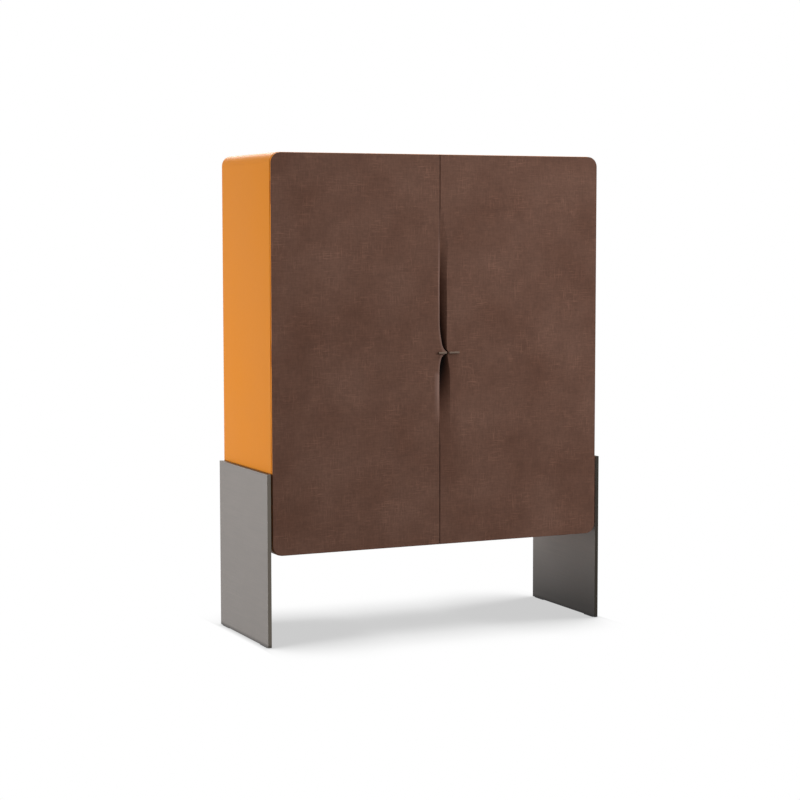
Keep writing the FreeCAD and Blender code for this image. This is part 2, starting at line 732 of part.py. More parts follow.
def tongue_outline(sketch, play="0"):
    """The pointed tongue: two hollow sweeps that meet at a blunt tip; play widens it to a notch."""
    reach = f"tongue_reach + {play}"
    up = f"tongue_up + {play}"
    down = f"-(tongue_down + {play})"
    tip = f"tongue_tip + {play}"
    low_neck = (f"tongue_low_neck + {play}", f"-(tongue_low_neck_drop + {play})")
    neck = (f"tongue_neck + {play}", f"tongue_neck_rise + {play}")
    points = [("-tongue_root", down), (play, down), low_neck, (reach, f"-({tip})"), (reach, tip), neck,
              (play, up), ("-tongue_root", up)]
    bends = {1: ("level", True), 2: ("smooth", True), 4: ("smooth", False), 5: ("level", False)}
    return outline(sketch, points, bends, smooth=(2, 5))


def scoop_sections(body):
    """Sections of the finger scoop: a slope from a crease in the leather, deepest at the bars."""
    sections = []
    for number in range(-STATIONS, STATIONS + 1):
        share = abs(number) / STATIONS
        run = "scoop_down" if number < 0 else "scoop_up"
        height = f"{run} * {number / STATIONS}"
        lower = 1 - fade(min(1, max(0, (WIDEN_START - number) / WIDEN_RUN)))
        wide = f"scoop_width + (scoop_low_width - scoop_width) * {lower:.4f}"
        deep = f"scoop_end + (scoop_depth - scoop_end) * {fade(share):.4f}"
        sketch = sketch_on(body, "XY_Plane", f"{body.Name}_scoop_{number + STATIONS}", height)
        points = [("-door_gap", "-door_gap"), (wide, "-door_gap"), (wide, "0"),
                  ("scoop_flat", deep), ("-door_gap", deep)]
        sections.append(outline(sketch, points))
    return sections


def shape_right_edge(body):
    """Cuts the finger scoop and the notch for the tongue out of a piece of the right door."""
    loft(body, "PartDesign::SubtractiveLoft", scoop_sections(body), body.Name + "_scoop")
    notch = tongue_outline(sketch_on(body, "XZ_Plane", body.Name + "_notch_outline"), "tongue_play")
    pocket = body.newObject("PartDesign::Pocket", body.Name + "_notch")
    pocket.Profile = notch
    pocket.Type = "ThroughAll"
    pocket.Midplane = True
    doc.recompute()


def rolled_edge(body, name, run, wide, peak):
    """A rolled leather edge: falls away to the meeting edge and runs out at both ends."""
    sections = []
    start, end = run
    for number in range(STATIONS + 1):
        share = number / STATIONS
        swell = fade(abs(share - peak) / max(peak, 1 - peak))
        height = f"{start} + (({end}) - ({start})) * {share}"
        drop = f"roll_end + (roll_depth - roll_end) * {swell:.4f}"
        reach = f"{wide} * {widened(ROLL_END_SHARE, swell):.4f}"
        sketch = sketch_on(body, "XY_Plane", f"{body.Name}_{name}_{number}", height)
        points = [(f"-({reach})", "-roll_lead"), ("0", drop), ("door_gap", drop), ("door_gap", "-door_gap"),
                  (f"-({reach})", "-door_gap")]
        sections.append(outline(sketch, points, {0: ("plumb", True)}))
    return loft(body, "PartDesign::SubtractiveLoft", sections, f"{body.Name}_{name}")


def bar_screw_places(side):
    """X of the two screws that hold a handle bar."""
    if side == LEFT:
        return ("left_bar_start + bar_screw_inset + door_gap", "bar_middle - bar_screw_inset")
    return ("right_bar_start + bar_screw_inset", "right_bar_end - bar_screw_inset")


def bar_screw_holes(side, name, start, deep):
    """Clearance holes for the two screws of a bar, through one layer of the door."""
    return [rod(f"{name}_{number}", "+y", "bar_screw_radius + fit_play", deep, x, start, "handle_height")
            for number, x in enumerate(bar_screw_places(side))]


def left_leather():
    """Leather of the left door, with its tongue and its rolled edge above and below."""
    body = door_body(LEFT, "skin")
    face_plate(LEFT, body, "face", None, "leather_thick")
    tongue = tongue_outline(sketch_on(body, "XZ_Plane", "left_tongue"))
    soften_front(body, pad(body, tongue, "leather_thick", backward=True))
    rolled_edge(body, "roll", ("tongue_up + roll_start", "scoop_up"), "roll_width", ROLL_PEAK)
    rolled_edge(body, "low_roll", ("-(tongue_down + roll_start)", "-scoop_down"), "roll_low_width",
                LOW_ROLL_PEAK)
    holes = bar_screw_holes(LEFT, "left_skin_hole", "leather_front", "leather_thick")
    keep(cut("left_skin", body, holes), "door_left_leather")


def right_leather():
    """Leather of the right door and the shaped block that its scoop is drawn over."""
    body = door_body(RIGHT, "skin")
    soften_front(body, face_plate(RIGHT, body, "face", None, "leather_thick"))
    shape_right_edge(body)
    block = door_body(RIGHT, "grip")
    profile = rectangle(sketch_on(block, "XZ_Plane", "grip_outline", "-leather_thick"),
                        "0", "grip_width", "-grip_below", "grip_above")
    pad(block, profile, "lip_thick + core_thick", backward=True)
    shape_right_edge(block)
    skin_holes = bar_screw_holes(RIGHT, "right_skin_hole", "leather_front", "leather_thick")
    block_holes = bar_screw_holes(RIGHT, "right_grip_hole", "lip_front", "lip_thick + core_thick")
    keep(cut("right_skin", body, skin_holes), "door_right_leather")
    keep(cut("right_grip", block, block_holes), "door_right_grip_block")


def door_panel(side):
    """Rebated board: a lip over the box's edges, a core inside the box and room for the hinges."""
    name = SIDE_NAMES[side]
    body = door_body(side, "board")
    lip = face_plate(side, body, "lip", "-leather_thick", "lip_thick")
    outer = side * measure("door_width")
    back = measure("leather_thick + lip_thick")
    round_edges(body, lip, "lip_round", lambda edge: (
        runs_along(edge, V(0, 0, 1)) and abs(edge.CenterOfMass.x - outer) < CLOSE
        and abs(edge.CenterOfMass.y - back) < CLOSE))
    low, high = span(side, "0", "core_width")
    core = rectangle(sketch_on(body, "XZ_Plane", f"{body.Name}_core", "-(leather_thick + lip_thick)"),
                     low, high, "-core_below", "core_above")
    pad(body, core, "core_thick", backward=True)
    if side == LEFT:
        pad(body, tongue_outline(sketch_on(body, "XZ_Plane", "left_tongue_back", "-leather_thick")),
            "lip_thick", backward=True)
    tools = []
    for hinge_name in HINGE_NAMES:
        height = HINGE_HEIGHTS[hinge_name]
        tag = f"door_{name}_{hinge_name}"
        tools.append(box(tag + "_room", span(side, "hinge_x - knuckle_clear", "half_width"),
                         ("lip_front", "lip_back"),
                         (f"{height} - half_hinge - lip_clear",
                          f"{height} + half_hinge + pin_head_height + lip_clear")))
        tools.append(box(tag + "_mortise", span(side, "hinge_x - leaf_width", "hinge_x - knuckle_clear"),
                         ("lip_back - leaf_thick", "lip_back"),
                         (f"{height} - half_hinge", f"{height} + half_hinge")))
        for number, z in enumerate(hinge_screw_places(height)):
            tools.append(rod(f"{tag}_pilot_{number}", "-y", "screw_radius + fit_play",
                             "lip_screw_length + fit_play", f"{side} * leaf_screw_x", "lip_back", z))
    if side == RIGHT:
        tools.append(box("door_right_grip_room", ("half_gap", "half_gap + grip_width"),
                         ("lip_front", "core_back"),
                         ("handle_height - grip_below", "handle_height + grip_above")))
    deep = "lip_thick" if side == LEFT else "lip_thick + core_thick"
    tools += bar_screw_holes(side, f"door_{name}_bar_hole", "lip_front", deep)
    keep(cut(f"door_{name}_panel_cut", body, tools), f"door_{name}_panel")


def handle_bar(side):
    """Small metal bar lying on the leather, with its two screws from behind."""
    name = SIDE_NAMES[side]
    start, length = ("left_bar_start", "left_bar_length")
    seat = "lip_back"
    if side == RIGHT:
        start, length = ("right_bar_start", "right_bar_length")
        seat = "core_back"
    body = new_body(f"bar_{name}", start, "leather_front", "handle_height")
    profile = rectangle(sketch_on(body, "XZ_Plane", f"bar_{name}_profile"),
                        "0", length, "-bar_height / 2", "bar_height / 2")
    bar = pad(body, profile, "bar_projection")
    round_edges(body, bar, "bar_round", lambda edge: edge.CenterOfMass.y < -CLOSE)
    holes = []
    screws = []
    for number, x in enumerate(bar_screw_places(side)):
        tag = f"bar_{name}_{number}"
        holes.append(rod(tag + "_hole", "-y", "bar_screw_radius + fit_play", "bar_screw_bite + fit_play",
                         x, "leather_front", "handle_height"))
        shank = rod(tag + "_shank", "-y", "bar_screw_radius", f"{seat} - leather_front + bar_screw_bite",
                    x, seat, "handle_height")
        head = rod(tag + "_head", "+y", "bar_screw_head", "bar_screw_head_height", x, seat, "handle_height")
        screws.append(fuse(tag + "_screw", [shank, head]))
    keep(cut(f"bar_{name}_cut", body, holes), f"handle_{name}_bar")
    keep(group(f"bar_{name}_screws", screws), f"handle_{name}_screws")


def catches():
    """Magnetic catches under the top panel and the strike plates on the doors."""
    bodies = []
    half_catch = "catch_length / 2"
    half = "(catch_length / 2 - strike_margin)"
    for side in (LEFT, RIGHT):
        name = SIDE_NAMES[side]
        across = span(side, f"catch_offset - {half_catch}", f"catch_offset + {half_catch}")
        bodies.append(box(f"catch_{name}", across, ("catch_front", "catch_front + catch_depth"),
                          ("inner_top - catch_height", "inner_top")))
        plate = box(f"strike_{name}", span(side, f"catch_offset - {half}", f"catch_offset + {half}"),
                    ("core_back", "core_back + strike_thick"),
                    ("inner_top - catch_height", "inner_top - core_play - strike_margin"))
        keep(plate, f"door_{name}_strike_plate")
    keep(group("catches", bodies), "magnet_catches")


def write_pieces():
    """Checks every object and piece, then writes each piece to its own file."""
    doc.recompute()
    for item in doc.Objects:
        if "Invalid" in item.State or "Error" in item.State:
            raise RuntimeError(f"{item.Name} failed: {item.State}")
    for item in pieces:
        if item.Shape.isNull() or not item.Shape.isValid():
            raise RuntimeError(f"{item.Label} has no valid shape")
    os.makedirs("parts", exist_ok=True)
    for item in pieces:
        item.Shape.exportStep(f"parts/{item.Label}.step")
        print(item.Label, len(item.Shape.Solids), round(item.Shape.Volume / 1000, 1), "cm3")


carcass()
legs()
hinges()
left_leather()
right_leather()
for door in (LEFT, RIGHT):
    door_panel(door)
    handle_bar(door)
catches()
write_pieces()
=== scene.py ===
"""Looks of a tall two-door cabinet: a lacquered box, sculpted leather doors and two metal legs."""
import json
import logging
import math
from dataclasses import dataclass, field
from enum import Enum
from typing import Sequence

import bmesh
import bpy
from mathutils import Matrix, Vector


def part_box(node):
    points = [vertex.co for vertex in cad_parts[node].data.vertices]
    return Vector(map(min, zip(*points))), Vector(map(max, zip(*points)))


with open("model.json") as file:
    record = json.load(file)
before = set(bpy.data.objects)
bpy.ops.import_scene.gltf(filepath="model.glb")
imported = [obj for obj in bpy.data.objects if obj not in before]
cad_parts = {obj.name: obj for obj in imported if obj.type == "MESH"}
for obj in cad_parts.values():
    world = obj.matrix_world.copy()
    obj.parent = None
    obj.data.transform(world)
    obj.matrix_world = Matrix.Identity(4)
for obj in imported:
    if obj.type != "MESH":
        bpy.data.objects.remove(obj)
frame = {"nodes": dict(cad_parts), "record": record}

log = logging.getLogger("cabinet")

Colour = tuple[float, float, float]
Point = tuple[float, float, float]
Span = tuple[float, float]
Socket = bpy.types.NodeSocket
Axes = bpy.types.bpy_prop_collection

NOISE_SPAN = (0.3, 0.7)
NOISE_PAIR_SPAN = (0.75, 1.25)


class Side(Enum):
    """The two halves of the cabinet."""

    LEFT = "left"
    RIGHT = "right"


class Slot(Enum):
    """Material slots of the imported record."""

    LACQUER = "orange_lacquer"
    DOOR = "door_lacquer"
    LEATHER = "brown_leather"
    LEG = "leg_metal"
    BAR = "bar_metal"
    HINGE = "hinge_paint"
    HARDWARE = "dark_hardware"
    PLASTIC = "black_plastic"


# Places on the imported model

@dataclass(frozen=True)
class Landmarks:
    """Places that the finishes follow, in metres, and the rounding of the doors' corners."""

    leg_top: float
    door_edge: float
    door_bottom: float
    door_top: float
    leather_front: float
    bars: float
    corner_radius: float = 0.034

    @classmethod
    def measure(cls) -> "Landmarks":
        """Reads the places from the CAD nodes.

        Returns:
            The places.
        """
        leg_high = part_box("leg_panel_left")[1]
        door_low, door_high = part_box("door_left_panel")
        leather_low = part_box("door_right_leather")[0]
        bar_low, bar_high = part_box("handle_left_bar")
        return cls(leg_high.z, -door_low.x, door_low.z, door_high.z, leather_low.y,
                   (bar_low.z + bar_high.z) / 2)


PLACES = Landmarks.measure()


# Shader building blocks

class NodeBoard:
    """A node tree with short calls for adding and joining nodes."""

    def __init__(self, tree: bpy.types.NodeTree) -> None:
        """Keeps the tree that nodes are added to."""
        self.tree = tree

    def add(self, kind: str, **settings: object) -> bpy.types.Node:
        """Adds a node.

        Args:
            kind: Node type without its ShaderNode prefix.
            settings: Attributes of the node, such as operation or data_type.

        Returns:
            The new node.
        """
        node = self.tree.nodes.new("ShaderNode" + kind)
        for name, value in settings.items():
            setattr(node, name, value)
        return node

    def feed(self, socket: Socket, value: object) -> None:
        """Links an output to a socket, or writes a constant on it.

        Args:
            socket: Input socket of a node.
            value: Output socket, or the constant; a colour of three numbers gets a full alpha.
        """
        if isinstance(value, bpy.types.NodeSocket):
            self.tree.links.new(value, socket)
        elif isinstance(value, tuple) and len(value) == 3 and socket.type == "RGBA":
            socket.default_value = (*value, 1.0)
        else:
            socket.default_value = value

    def noise(self, vector: Socket, scale: object, detail: float = 2.0, roughness: float = 0.5) -> Socket:
        """Adds a noise texture.

        Args:
            vector: Coordinates that it reads.
            scale: Patches to the metre.
            detail: Number of finer layers.
            roughness: Strength of each finer layer.

        Returns:
            Its value, which mostly stays in NOISE_SPAN.
        """
        node = self.add("TexNoise")
        self.feed(node.inputs["Vector"], vector)
        self.feed(node.inputs["Scale"], scale)
        self.feed(node.inputs["Detail"], detail)
        self.feed(node.inputs["Roughness"], roughness)
        return node.outputs["Fac"]

    def stretch(self, vector: Socket, scale: Point) -> Socket:
        """Scales coordinates by a different amount on each axis.

        Args:
            vector: Coordinates.
            scale: Factor on each axis.

        Returns:
            The scaled coordinates.
        """
        node = self.add("Mapping")
        self.feed(node.inputs["Vector"], vector)
        node.inputs["Scale"].default_value = scale
        return node.outputs["Vector"]

    def remap(self, value: Socket, low: float, high: float, to_low: object = 0.0,
              to_high: object = 1.0) -> Socket:
        """Maps a range of values to another, clamped.

        Args:
            value: Value to map.
            low: Start of its range.
            high: End of its range, which may lie below the start.
            to_low: Result at the start.
            to_high: Result at the end.

        Returns:
            The mapped value.
        """
        node = self.add("MapRange")
        for name, number in zip(("Value", "From Min", "From Max", "To Min", "To Max"),
                                (value, low, high, to_low, to_high)):
            self.feed(node.inputs[name], number)
        return node.outputs["Result"]

    def around(self, value: Socket, span: Span, middle: float, below: float, above: float) -> Socket:
        """Maps a range of values to one that lies around a middle."""
        return self.remap(value, *span, middle - below, middle + above)

    def mix(self, share: object, first: object, second: object) -> Socket:
        """Mixes two colours.

        Args:
            share: Share of the second colour.
            first: First colour.
            second: Second colour.

        Returns:
            The mixed colour.
        """
        node = self.add("Mix", data_type="RGBA")
        colours = [socket for socket in node.inputs if socket.type == "RGBA"]
        self.feed(node.inputs[0], share)
        self.feed(colours[0], first)
        self.feed(colours[1], second)
        return next(socket for socket in node.outputs if socket.type == "RGBA")

    def scale(self, colour: object, factor: object) -> Socket:
        """Multiplies a colour by a value.

        Args:
            colour: Colour.
            factor: Factor on its three channels.

        Returns:
            The scaled colour.
        """
        node = self.add("VectorMath", operation="SCALE")
        self.feed(node.inputs[0], colour)
        self.feed(node.inputs["Scale"], factor)
        return node.outputs[0]

    def maths(self, operation: str, first: object, second: object = 0.0) -> Socket:
        """Adds a Math node.

        Args:
            operation: Name of the operation.
            first: First value.
            second: Second value, where the operation has one.

        Returns:
            Its result.
        """
        node = self.add("Math", operation=operation)
        self.feed(node.inputs[0], first)
        self.feed(node.inputs[1], second)
        return node.outputs[0]

    def most(self, *values: object) -> Socket:
        """Gives the largest of several values.

        Args:
            values: Two or more values.

        Returns:
            The largest.
        """
        largest = values[0]
        for value in values[1:]:
            largest = self.maths("MAXIMUM", largest, value)
        return largest

    def times(self, first: object, second: object) -> Socket:
        """Multiplies two values."""
        return self.maths("MULTIPLY", first, second)

    def less(self, first: object, second: object) -> Socket:
        """Takes the second value from the first."""
        return self.maths("SUBTRACT", first, second)

    def size(self, value: object) -> Socket:
        """Gives a value without its sign."""
        return self.maths("ABSOLUTE", value)

    def axes(self, vector: Socket) -> Axes:
        """Splits a vector.

        Args:
            vector: Vector to split.

        Returns:
            Its sockets, by the names X, Y and Z.
        """
        node = self.add("SeparateXYZ")
        self.feed(node.inputs[0], vector)
        return node.outputs

    def reach(self, across: object, up: object) -> Socket:
        """Measures a distance in the plane of a door.

        Args:
            across: Its part along X.
            up: Its part along Z.

        Returns:
            The distance.
        """
        flat = self.add("CombineXYZ")
        self.feed(flat.inputs["X"], across)
        self.feed(flat.inputs["Z"], up)
        length = self.add("VectorMath", operation="LENGTH")
        self.feed(length.inputs[0], flat.outputs[0])
        return length.outputs["Value"]

    def bump(self, height: Socket, strength: float, distance: float) -> Socket:
        """Turns a height into a normal.

        Args:
            height: Height from 0 to 1.
            strength: Share of the effect.
            distance: Real height of the relief in metres.

        Returns:
            The normal.
        """
        node = self.add("Bump")
        self.feed(node.inputs["Height"], height)
        self.feed(node.inputs["Strength"], strength)
        self.feed(node.inputs["Distance"], distance)
        return node.outputs["Normal"]


def shader_group(name: str, inputs: Sequence[tuple[str, str]],
                 outputs: Sequence[tuple[str, str]]) -> tuple[NodeBoard, bpy.types.Node, bpy.types.Node]:
    """Starts a shader node group.

    Args:
        name: Name of the group.
        inputs: Name and type, Float, Vector or Color, of each input socket.
        outputs: The same for each output socket.

    Returns:
        The board of the group, its input node and its output node.
    """
    tree = bpy.data.node_groups.new(name, "ShaderNodeTree")
    for sockets, direction in ((inputs, "INPUT"), (outputs, "OUTPUT")):
        for label, kind in sockets:
            tree.interface.new_socket(label, in_out=direction, socket_type="NodeSocket" + kind)
    start = tree.nodes.new("NodeGroupInput")
    end = tree.nodes.new("NodeGroupOutput")
    return NodeBoard(tree), start, end


def mottle_group() -> bpy.types.NodeTree:
    """Builds the shared effect of soft cloudy colour: two sizes of patches around a base colour.

    Returns:
        The node group.
    """
    board, start, end = shader_group(
        "soft_mottle",
        (("Vector", "Vector"), ("Colour", "Color"), ("Patch Scale", "Float"), ("Patch", "Float"),
         ("Fleck Scale", "Float"), ("Fleck", "Float")),
        (("Colour", "Color"), ("Cloud", "Float")))
    patch = board.noise(start.outputs["Vector"], start.outputs["Patch Scale"], roughness=0.55)
    fleck = board.noise(start.outputs["Vector"], start.outputs["Fleck Scale"], detail=4.0, roughness=0.6)
    cloud = board.remap(patch, *NOISE_SPAN, -1.0, 1.0)
    speck = board.remap(fleck, *NOISE_SPAN, -1.0, 1.0)
    swing = board.maths("ADD", board.times(cloud, start.outputs["Patch"]),
                        board.times(speck, start.outputs["Fleck"]))
    gain = board.maths("ADD", swing, 1.0)
    board.feed(end.inputs["Colour"], board.scale(start.outputs["Colour"], gain))
    board.feed(end.inputs["Cloud"], patch)
    return board.tree


def brush_group() -> bpy.types.NodeTree:
    """Builds the shared effect of brushed metal: fine lines along one direction.

    Returns:
        The node group.
    """
    board, start, end = shader_group(
        "brush_lines",
        (("Vector", "Vector"), ("Scale", "Float"), ("Low", "Float"), ("High", "Float")),
        (("Line", "Float"), ("Roughness", "Float")))
    fine = board.noise(start.outputs["Vector"], start.outputs["Scale"], detail=4.0, roughness=0.7)
    board.feed(end.inputs["Line"], fine)
    spread = board.remap(fine, *NOISE_SPAN, start.outputs["Low"], start.outputs["High"])
    board.feed(end.inputs["Roughness"], spread)
    return board.tree


class Effects:
    """Shared shader groups, built once."""

    mottle: bpy.types.NodeTree
    brush: bpy.types.NodeTree

    @classmethod
    def build(cls) -> None:
        """Makes every shared group."""
        cls.mottle = mottle_group()
        cls.brush = brush_group()


def start_material(name: str) -> tuple[bpy.types.Material, NodeBoard, bpy.types.Node, Socket]:
    """Starts a material on Object coordinates.

    Args:
        name: Name of the material.

    Returns:
        The material, its board, its Principled BSDF and the Object coordinates.
    """
    material = bpy.data.materials.new(name)
    material.use_nodes = True
    board = NodeBoard(material.node_tree)
    shader = next(node for node in board.tree.nodes if node.type == "BSDF_PRINCIPLED")
    where = board.add("TexCoord").outputs["Object"]
    return material, board, shader, where


def use_group(board: NodeBoard, tree: bpy.types.NodeTree, **values: object) -> bpy.types.Node:
    """Places a shared group in a material.

    Args:
        board: Board of the material.
        tree: The group.
        values: Value or output for each input, by its name in lower case with underscores.

    Returns:
        The group's node.
    """
    node = board.add("Group", node_tree=tree)
    for name, value in values.items():
        board.feed(node.inputs[name.replace("_", " ").title()], value)
    return node


# Finishes. A Span holds two numbers, mostly the ends of a soft change. Scales count patches to the metre,
# and depths, reaches, rises and widths are in metres. Duller and glossier say how far the roughness goes
# above and below its middle value.

@dataclass(frozen=True)
class Lacquer:
    """Satin lacquer on board: an even colour with a faint drift and the fine ripple of a sprayed coat.

    The narrow gap behind a leg gets painted shade.
    """

    name: str
    colour: Colour
    roughness: float = 0.45
    duller: float = 0.05
    glossier: float = 0.04
    drift: float = 0.02
    drift_scale: float = 2.2
    fleck_scale: float = 60.0
    ripple: float = 0.05
    ripple_scale: float = 420.0
    ripple_height: float = 0.0006
    specular: float = 0.06
    gap_shade_tone: Colour = (0.060, 0.035, 0.020)
    gap_shade_strength: float = 0.75
    gap_skin: Span = (0.0015, 0.0005)
    gap_fade: float = 0.004
    gap_corner: Span = (0.003, 0.020)

    def material(self) -> bpy.types.Material:
        """Builds the material.

        Returns:
            The material.
        """
        material, board, shader, where = start_material(self.name)
        tone = use_group(board, Effects.mottle, vector=where, colour=self.colour,
                         patch_scale=self.drift_scale, patch=self.drift,
                         fleck_scale=self.fleck_scale, fleck=self.drift / 2)
        axes = board.axes(where)
        aside = board.size(axes["X"])
        # painted shade: the narrow gap behind each leg is darkened
        coat = board.mix(self.gap_shade_share(board, aside, axes["Z"]), tone.outputs["Colour"], self.gap_shade_tone)
        board.feed(shader.inputs["Base Color"], self.edged(board, aside, axes["Z"], coat))
        haze = board.around(tone.outputs["Cloud"], NOISE_SPAN, self.roughness, self.glossier, self.duller)
        board.feed(shader.inputs["Roughness"], haze)
        peel = board.noise(where, self.ripple_scale)
        board.feed(shader.inputs["Normal"], board.bump(peel, self.ripple, self.ripple_height))
        shader.inputs["Specular IOR Level"].default_value = self.specular
        return material

    def edged(self, board: NodeBoard, aside: Socket, height: Socket, coat: Socket) -> Socket:
        """Gives the colour with any edge of another colour; plain lacquer has none."""
        return coat

    def gap_shade_share(self, board: NodeBoard, aside: Socket, height: Socket) -> Socket:
        """Finds the painted shade in the gap behind a leg: the outer side and its lower corner, up to the
        leg's top.

        Args:
            board: Board of the material.
            aside: Distance from the cabinet's middle.
            height: Height above the floor.

        Returns:
            The share of the painted shade tone.
        """
        radius = PLACES.corner_radius
        beyond = board.most(board.less(aside, PLACES.door_edge - radius), 0.0)
        under = board.most(board.less(PLACES.door_bottom + radius, height), 0.0)
        deep, shallow = (radius - depth for depth in self.gap_skin)
        outer = board.remap(board.reach(beyond, under), deep, shallow, 0.0, self.gap_shade_strength)
        level = board.remap(height, PLACES.leg_top + self.gap_fade, PLACES.leg_top - self.gap_fade)
        return board.times(outer, board.times(level, board.remap(beyond, *self.gap_corner)))


@dataclass(frozen=True)
class DoorLacquer(Lacquer):
    """Lacquer of a door board, in the colour of its leather where the two doors meet."""

    meeting: Colour = (0.075, 0.036, 0.025)
    meeting_reach: float = 0.032
    meeting_blend: float = 0.002
    end_trim: Span = (0.002, 0.001)

    def edged(self, board: NodeBoard, aside: Socket, height: Socket, coat: Socket) -> Socket:
        """Gives the colour with the brown meeting edge, which stops short of the door's top and bottom.

        Args:
            board: Board of the material.
            aside: Distance from the cabinet's middle.
            height: Height above the floor.
            coat: Colour of the lacquer.

        Returns:
            The colour.
        """
        middle = (PLACES.door_top + PLACES.door_bottom) / 2
        half = (PLACES.door_top - PLACES.door_bottom) / 2
        away = board.remap(aside, self.meeting_reach, self.meeting_reach + self.meeting_blend)
        end = board.remap(board.size(board.less(height, middle)), *(half - trim for trim in self.end_trim))
        return board.mix(board.most(away, end), self.meeting, coat)


@dataclass(frozen=True)
class Nubuck:
    """Brushed leather: cloudy colour, clusters of pale scuffs, fine nap and a soft sheen.

    It has painted shade down the finger scoop, and in a band beside it that stands for a shallow dip.
    """

    name: str
    deep: Colour = (0.098, 0.045, 0.029)
    pale: Colour = (0.127, 0.064, 0.044)
    cloud_scale: float = 4.5
    cloud_span: Span = (0.32, 0.68)
    weave: float = 0.085
    weave_scale: Span = (28.0, 280.0)
    fleck: float = 0.08
    fleck_scale: Span = (30.0, 125.0)
    scuff: float = 0.42
    scuff_scale: float = 13.0
    scuff_span: Span = (0.44, 0.68)
    level_scuffs: Span = (0.54, 0.74)
    plumb_scuffs: Span = (0.56, 0.76)
    roughness: float = 0.80
    duller: float = 0.08
    glossier: float = 0.06
    nap_scale: float = 900.0
    nap_share: float = 0.6
    pore_scale: float = 520.0
    grain: float = 0.25
    grain_height: float = 0.0006
    specular: float = 0.12
    sheen: float = 0.05
    sheen_roughness: float = 0.5
    fold_depth: float = 0.027
    fold_shade_tint: Colour = (0.130, 0.043, 0.021)
    fold_decay: float = 22.0
    fold_power: Span = (0.8, 8.0)
    fold_turn: Span = (-0.1, 0.3)
    dip: float = 0.20
    dip_start: Span = (-0.004, -0.025)
    dip_end: Span = (-0.50, -0.25)
    dip_side: Span = (0.02, 0.085)

    def material(self) -> bpy.types.Material:
        """Builds the material.

        Returns:
            The material.
        """
        material, board, shader, where = start_material(self.name)
        board.feed(shader.inputs["Base Color"],
                   self.painted_light(board, board.axes(where), self.skin(board, where)))
        nap = board.noise(where, self.nap_scale, detail=3.0, roughness=0.6)
        board.feed(shader.inputs["Roughness"],
                   board.around(nap, NOISE_SPAN, self.roughness, self.glossier, self.duller))
        pore = board.add("TexVoronoi", feature="SMOOTH_F1")
        board.feed(pore.inputs["Vector"], where)
        board.feed(pore.inputs["Scale"], self.pore_scale)
        height = board.maths("ADD", board.times(nap, self.nap_share), pore.outputs["Distance"])
        board.feed(shader.inputs["Normal"], board.bump(height, self.grain, self.grain_height))
        shader.inputs["Specular IOR Level"].default_value = self.specular
        shader.inputs["Sheen Weight"].default_value = self.sheen
        shader.inputs["Sheen Roughness"].default_value = self.sheen_roughness
        return material

    def skin(self, board: NodeBoard, where: Socket) -> Socket:
        """Makes the open leather: soft clouds, flecks, faint brush lines and pale scuffs.

        Args:
            board: Board of the material.
            where: Object coordinates.

        Returns:
            Its colour.
        """
        along, across = self.weave_scale
        cloud = board.remap(board.noise(where, self.cloud_scale), *self.cloud_span)
        level = board.noise(board.stretch(where, (along, along, across)), 1.0, roughness=0.55)
        plumb = board.noise(board.stretch(where, (across, along, along)), 1.0, roughness=0.55)
        coarse, fine = (board.noise(where, scale, roughness=0.6) for scale in self.fleck_scale)
        fleck = board.around(board.maths("ADD", coarse, fine), NOISE_PAIR_SPAN, 1.0, self.fleck, self.fleck)
        weave = board.around(board.maths("ADD", level, plumb), NOISE_PAIR_SPAN, 1.0, self.weave, self.weave)
        cluster = board.remap(board.noise(where, self.scuff_scale), *self.scuff_span, 0.0, self.scuff)
        lines = board.most(board.remap(level, *self.level_scuffs), board.remap(plumb, *self.plumb_scuffs))
        gain = board.maths("ADD", board.times(weave, fleck), board.times(cluster, lines))
        return board.scale(board.mix(cloud, self.deep, self.pale), gain)

    def painted_light(self, board: NodeBoard, axes: Axes, skin: Socket) -> Socket:
        """Paints shade on the leather around the finger scoop.

        Args:
            board: Board of the material.
            axes: Object coordinates, split.
            skin: Colour of the open leather.

        Returns:
            The shaded colour.
        """
        shade = self.scoop_shade(board, axes)
        # painted shade, tinted warmer and darker the deeper it lies
        return board.scale(board.mix(shade, self.fold_shade_tint, skin), shade)

    def scoop_shade(self, board: NodeBoard, axes: Axes) -> Socket:
        """Finds the painted shade: dark down the scoop, most so at the bars, and in a band under them that
        stands for a shallow dip.

        Args:
            board: Board of the material.
            axes: Object coordinates, split.

        Returns:
            Brightness from 0 to 1.
        """
        depth = board.less(axes["Y"], PLACES.leather_front)
        rise = board.less(axes["Z"], PLACES.bars)
        near = board.maths("EXPONENT", board.times(board.size(rise), -self.fold_decay))
        far_power, near_power = self.fold_power
        power = board.maths("ADD", board.times(near, near_power), far_power)
        fold = board.maths("POWER", board.remap(depth, 0.0, self.fold_depth, 1.0, 0.0), power)
        # the painted shade falls on faces turned away from the front
        turned = board.add("VectorTransform", vector_type="NORMAL",
                           convert_from="WORLD", convert_to="OBJECT")
        board.feed(turned.inputs[0], board.add("NewGeometry").outputs["Normal"])
        scoop = board.remap(board.axes(turned.outputs[0])["Y"], *self.fold_turn, fold, 1.0)
        # painted shade as of a shallow dip below the bars, where the leather is flat
        below = board.times(board.remap(rise, *self.dip_start), board.remap(rise, *self.dip_end))
        dip = board.times(below, board.remap(axes["X"], *self.dip_side, self.dip, 0.0))
        return board.times(scoop, board.less(1.0, dip))


@dataclass(frozen=True)
class Sweep:
    """One hollow arc of the tongue's outline: its centre and radius in the plane of the door."""

    x: float
    z: float
    radius: float


